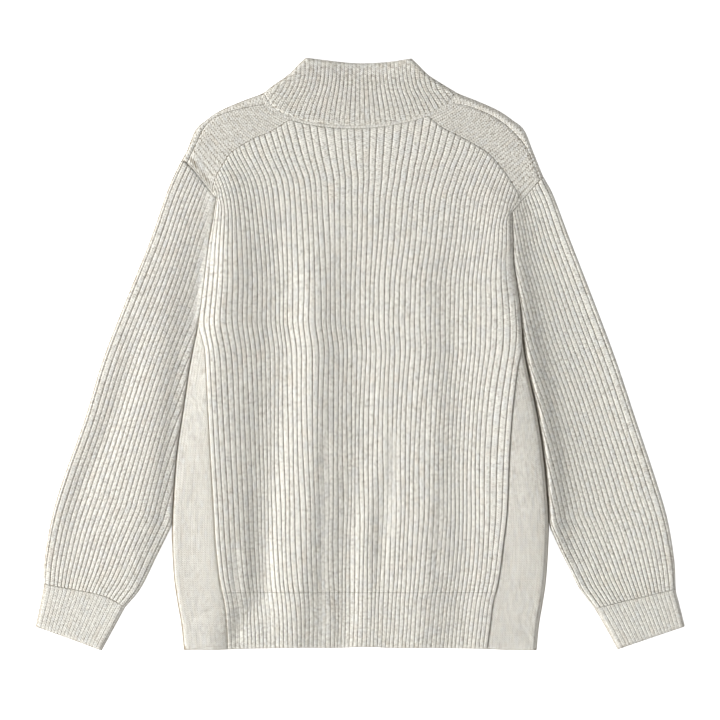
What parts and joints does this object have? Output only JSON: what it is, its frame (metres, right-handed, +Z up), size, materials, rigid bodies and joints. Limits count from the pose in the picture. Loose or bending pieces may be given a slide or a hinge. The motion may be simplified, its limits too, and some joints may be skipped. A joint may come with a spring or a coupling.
{
  "type": "zip-up cardigan",
  "caption": "Thick rib-knit zip-up cardigan with a funnel neck, laid flat on its front with its back up and its sleeves beside the body.",
  "frame": {"origin": "on the surface that the cardigan lies on, under the centre of its box", "axes": "+Z up, away from that surface and out of the garment's back; +Y from hem to collar; +X to the right as seen from above with the collar at the top"},
  "size_m": [0.78, 0.7124, 0.0134],
  "materials": {
    "rib_knit": "heathered cream wool blend, thick half-cardigan rib, matt",
    "plain_knit": "heathered cream wool blend, plain jersey knit, matt",
    "fine_rib": "heathered cream wool blend, finer and flatter rib, matt",
    "zip_tape": "woven polyester tape, matt",
    "zip_metal": "satin nickel"
  },
  "bodies": {
    "garment": {"back_hem": "fine_rib", "back_panel": "rib_knit", "collar": "fine_rib", "cuff_left": "fine_rib", "cuff_right": "fine_rib", "front_hem_left": "fine_rib", "front_hem_right": "fine_rib", "front_left": "plain_knit", "front_right": "plain_knit", "side_panel_left": "plain_knit", "side_panel_right": "plain_knit", "sleeve_left": "rib_knit", "sleeve_right": "rib_knit", "yoke_left": "plain_knit", "yoke_right": "plain_knit", "zip_box": "zip_metal", "zip_slider": "zip_metal", "zip_tape_left": "zip_tape", "zip_tape_right": "zip_tape"},
    "pull_tab": {"zip_pull_tab": "zip_metal"}
  },
  "joints": [
    {"name": "pull_tab_hinge", "type": "hinge", "parent": "garment", "child": "pull_tab", "pos_m": [0, 0.304, 0.00155], "axis": [1, 0, 0], "range_deg": [0, 150]}
  ]
}
